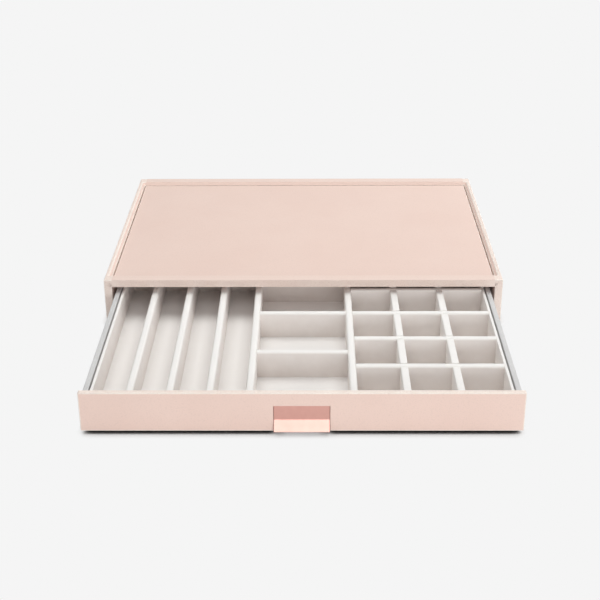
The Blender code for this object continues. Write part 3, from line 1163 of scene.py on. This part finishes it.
@dataclass
class VelvetTray:
    """The velvet tray: base, outer walls, partitions, lane and middle dividers and the half-lapped grid."""

    finishes: Finishes
    reach: float = 0.00035
    side_reveal: float = 0.0006
    end_radius: float = 0.0006
    crown_share: float = 0.62
    top_segments: int = 6
    step: float = 0.006
    hump: float = 0.00022
    hump_size: float = 0.012
    smooth_angle: float = 50.0
    # how much of the painted floor light the tray floor takes
    painted_floor_light_share: float = 0.80
    lap_gap: float = 0.0003
    lap_dip: float = 0.0012
    dip_segments: int = 4
    grid_columns: int = 2
    grid_rows: int = 4
    names: tuple[str, ...] = (
        "tray_left_wall", "tray_right_wall", "tray_front_wall", "tray_back_wall", "left_partition",
        "right_partition", "lane_divider_1", "lane_divider_2", "lane_divider_3", "middle_divider_1",
        "middle_divider_2", "middle_divider_3", "grid_cross_divider_1", "grid_cross_divider_2",
        "grid_cross_divider_3", "grid_cross_divider_4",
    )

    def soft_wall(self, name: str, low: Vector, high: Vector, axis: Axis, thickness: float,
                  dip: float = 0.0) -> Piece:
        """Make one velvet wall with a round top.

        Args:
            name: The piece's name.
            low: Its lowest corner.
            high: Its highest corner.
            axis: The axis that it runs along.
            thickness: How thick it is.
            dip: How far its top rounds down at the two ends, or 0 for none.

        Returns:
            The wall, with its place in its mesh.
        """
        wall = add_block(name, low, high)
        if dip:
            ends = (low[axis.value], high[axis.value])
            with editing(wall, Pick.EDGES, lambda corners: all_at(Axis.Z, high.z)(corners)
                         and any(all_at(axis, end)(corners) for end in ends)):
                bpy.ops.mesh.bevel(offset=dip, segments=self.dip_segments, affect="EDGES", clamp_overlap=True)
        across = Axis.Y if axis is Axis.X else Axis.X
        sides = (low[across.value], high[across.value])
        with editing(wall, Pick.EDGES, lambda corners: any(all_at(across, side)(corners) for side in sides)
                     and all(corner.z > high.z - dip - self.end_radius for corner in corners)):
            bpy.ops.mesh.bevel(
                offset=thickness / 2 * self.crown_share,
                segments=self.top_segments,
                affect="EDGES",
                clamp_overlap=True,
            )
        cut_along(wall, axis, self.step)
        # Painted highlight: the top is marked for the near-white tone.
        mark_crown_highlight(wall, thickness / 2)
        swell(wall, self.hump, self.hump_size)
        smooth(wall, self.smooth_angle)
        return wall

    def extended(self, low: Vector, high: Vector, axis: Axis) -> tuple[Vector, Vector]:
        """Reach a wall out to what it meets below and at its ends.

        Args:
            low: Its lowest corner.
            high: Its highest corner.
            axis: The axis that it runs along.

        Returns:
            Its new corners.
        """
        low, high = low.copy(), high.copy()
        low.z -= self.reach
        low[axis.value] -= self.reach
        high[axis.value] += self.reach
        return low, high

    def drawn_in(self, low: Vector, high: Vector) -> tuple[Vector, Vector, float]:
        """Draw a side wall's outer face in from the board beside it.

        Args:
            low: The wall's lowest corner.
            high: Its highest corner.

        Returns:
            Its new corners and its thickness.
        """
        low, high = low.copy(), high.copy()
        low.z -= self.reach
        if low.x < 0:
            low.x += self.side_reveal
        else:
            high.x -= self.side_reveal
        return low, high, high.x - low.x

    def build_walls(self) -> None:
        """Build the plain walls and dividers, each from its node."""
        for node in self.names:
            low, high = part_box(node)
            size = high - low
            axis = Axis.X if size.x > size.y else Axis.Y
            thickness = min(size.x, size.y)
            if node.endswith(("left_wall", "right_wall")):
                low, high, thickness = self.drawn_in(low, high)
            else:
                low, high = self.extended(low, high, axis)
            wall = self.soft_wall(node + "_velvet", low, high, axis, thickness)
            dress(wall, node, Body.DRAWER, self.finishes.velvet)

    def build_long_dividers(self) -> None:
        """Build the grid's long dividers, each a row of stretches between the cross dividers that lap it."""
        crossings = [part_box(f"grid_cross_divider_{row}") for row in range(1, self.grid_rows + 1)]
        for column in range(1, self.grid_columns + 1):
            node = f"grid_long_divider_{column}"
            low, high = self.extended(*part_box(node), Axis.Y)
            starts = [low.y] + [cross[1].y + self.lap_gap - self.reach for cross in crossings]
            ends = [cross[0].y - self.lap_gap + self.reach for cross in crossings] + [high.y]
            stretches = []
            for number, (start, end) in enumerate(zip(starts, ends)):
                stretches.append(
                    self.soft_wall(
                        f"{node}_{number}",
                        Vector((low.x, start, low.z)),
                        Vector((high.x, end, high.z)),
                        Axis.Y,
                        high.x - low.x,
                        self.lap_dip,
                    )
                )
            divider = join(stretches, node + "_velvet")
            smooth(divider, self.smooth_angle)
            dress(divider, node, Body.DRAWER, self.finishes.velvet)

    def build_base(self) -> None:
        """Build the velvet floor of the tray."""
        low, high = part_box("tray_base")
        base = add_block("tray_floor_velvet", low, high)
        cut_along(base, Axis.X, self.step)
        cut_along(base, Axis.Y, self.step)
        # Painted light: the floor is marked for a paler tone.
        mark_painted_floor_light(base, self.painted_floor_light_share)
        swell(base, self.hump, self.hump_size)
        smooth(base, self.smooth_angle)
        dress(base, "tray_base", Body.DRAWER, self.finishes.velvet)

    def build(self) -> None:
        """Build the base, the walls and the grid."""
        self.build_base()
        self.build_walls()
        self.build_long_dividers()


# The studio


@dataclass(frozen=True)
class Lamp:
    """One soft area lamp."""

    name: str
    place: Point
    aim: Point
    width: float
    height: float
    power: float
    colour: Colour = (1.0, 1.0, 1.0)

    def build(self) -> None:
        """Add the lamp, turned to what it lights."""
        light = bpy.data.lights.new(self.name, "AREA")
        light.shape = "RECTANGLE"
        light.size = self.width
        light.size_y = self.height
        light.energy = self.power
        light.color = self.colour
        lamp = bpy.data.objects.new(self.name, light)
        bpy.context.scene.collection.objects.link(lamp)
        lamp.location = self.place
        lamp.rotation_euler = (Vector(self.aim) - Vector(self.place)).to_track_quat("-Z", "Y").to_euler()


@dataclass
class Studio:
    """The pale floor, the soft light and the camera at the photograph's angle."""

    backdrop: float = 0.913
    room_tint: Colour = (1.0, 0.99, 0.98)
    room_strength: float = 0.20
    floor_size: float = 40.0
    floor_roughness: float = 0.9
    floor_glow: float = 0.14
    shadow_reach: float = 0.013
    shadow_samples: int = 16
    shadow_span: Span = (0.42, 0.84)
    # painted shadow: where the floor lies close under the object its colour darkens to this tone
    contact_shadow_span: Span = (0.38, 0.60)
    contact_shadow_tone: float = 0.06
    lens: float = 72.76
    sensor_width: float = 36.0
    sight: float = 100.0
    place: Point = (0.00901, -1.34576, 0.59644)
    pitch: float = math.radians(25.52)
    yaw: float = math.radians(-0.6)
    roll: float = math.radians(-0.31)
    lamps: tuple[Lamp, ...] = (
        Lamp("key_lamp", place=(0.02, 0.05, 1.5), aim=(0.0, -0.12, 0.0), width=1.8, height=1.0, power=15.0,
             colour=(0.985, 1.0, 0.985)),
        Lamp("back_lamp", place=(1.05, 0.90, 0.85), aim=(0.0, -0.1, 0.0), width=0.5, height=0.5, power=8.0),
        Lamp("front_lamp", place=(0.0, -1.35, 1.05), aim=(0.0, -0.30, 0.02), width=1.1, height=0.6, power=3.9),
        Lamp("low_lamp", place=(0.50, -1.96, 0.34), aim=(0.05, -0.30, 0.03), width=0.9, height=0.45, power=9.0),
    )

    def show_backdrop(self, graph: Graph, shade: Socket, output: Socket,
                      share: Socket | float) -> None:
        """Let the camera, gloss and glass see the backdrop's own brightness.

        Args:
            graph: The graph of the floor or the world.
            shade: The shader that lights the object.
            output: The surface socket of the output.
            share: How much of the backdrop's brightness those rays see.
        """
        path = graph.add("ShaderNodeLightPath")
        seen = graph.combine("MAXIMUM", path.outputs["Is Camera Ray"], path.outputs["Is Glossy Ray"])
        seen = graph.combine("MAXIMUM", seen, path.outputs["Is Transmission Ray"])
        plain = graph.add("ShaderNodeEmission", Color=(self.backdrop,) * 3 + (1.0,), Strength=1.0)
        mix = graph.add("ShaderNodeMixShader")
        graph.link(graph.combine("MULTIPLY", seen, share), mix.inputs["Fac"])
        graph.link(shade, mix.inputs[1])
        graph.link(plain.outputs["Emission"], mix.inputs[2])
        graph.link(mix.outputs["Shader"], output)

    def build_world(self) -> None:
        """Build the even light of the room."""
        world = bpy.data.worlds.new("studio")
        bpy.context.scene.world = world
        world.use_nodes = True
        graph = Graph(world.node_tree)
        background = world.node_tree.nodes["Background"]
        tune(background, Color=(*self.room_tint, 1.0), Strength=self.room_strength)
        output = world.node_tree.nodes["World Output"]
        self.show_backdrop(graph, background.outputs["Background"], output.inputs["Surface"], 1.0)

    def build_floor(self) -> None:
        """Build the pale floor, which keeps the object's soft shadow, darkened further by painted shade close
        under the object, and lights it a little from below.
        """
        clear_selection()
        bpy.ops.mesh.primitive_plane_add(size=self.floor_size, location=(0, 0, 0))
        floor = bpy.context.object
        floor.name = "studio_floor"
        material, graph, shader = start_material("studio_floor")
        tune(shader, Roughness=self.floor_roughness, Specular_IOR_Level=0.0)
        output = material.node_tree.nodes["Material Output"]
        path = graph.add("ShaderNodeLightPath")
        strength = graph.combine("MULTIPLY", path.outputs["Is Diffuse Ray"], self.floor_glow)
        glow = graph.add("ShaderNodeEmission")
        graph.link(strength, glow.inputs["Strength"])
        lit = graph.add("ShaderNodeAddShader")
        graph.link(shader.outputs["BSDF"], lit.inputs[0])
        graph.link(glow.outputs["Emission"], lit.inputs[1])
        nearness = graph.add(
            "ShaderNodeAmbientOcclusion", samples=self.shadow_samples, Distance=self.shadow_reach
        )
        share = graph.remap(nearness.outputs["AO"], self.shadow_span)
        # Painted shadow: close under the object the floor's colour is darkened, on top of its real shadow.
        tone = graph.remap(nearness.outputs["AO"], self.contact_shadow_span, (self.contact_shadow_tone, self.backdrop))
        graph.link(tone, shader.inputs["Base Color"])
        self.show_backdrop(graph, lit.outputs["Shader"], output.inputs["Surface"], share)
        floor.data.materials.append(material)

    def build_lamps(self) -> None:
        """Build the key lamp overhead, and lamps behind, over the camera and low in front."""
        for lamp in self.lamps:
            lamp.build()

    def build_camera(self) -> None:
        """Build the camera at the photograph's place and angle."""
        camera = bpy.data.cameras.new("camera")
        camera.lens = self.lens
        camera.sensor_width = self.sensor_width
        camera.clip_end = self.sight
        eye = bpy.data.objects.new("camera", camera)
        bpy.context.scene.collection.objects.link(eye)
        turn = (
            Matrix.Rotation(-self.yaw, 4, "Z")
            @ Matrix.Rotation(math.pi / 2 - self.pitch, 4, "X")
            @ Matrix.Rotation(self.roll, 4, "Z")
        )
        eye.matrix_world = Matrix.Translation(self.place) @ turn
        bpy.context.scene.camera = eye

    def build(self) -> None:
        """Build the whole studio."""
        bpy.context.scene.view_settings.view_transform = "Standard"
        self.build_world()
        self.build_floor()
        self.build_lamps()
        self.build_camera()


def main() -> None:
    """Build the object and its studio, and write how large the dressed model is."""
    logging.basicConfig(level=logging.INFO, format="%(name)s: %(message)s")
    finishes = Finishes.build()
    for assembly in (Casing(finishes), DrawerBox(finishes), Pull(finishes), VelvetTray(finishes)):
        assembly.build()
        LOG.info("%s is built", type(assembly).__name__)
    Studio().build()


if __name__ == "__main__":
    main()
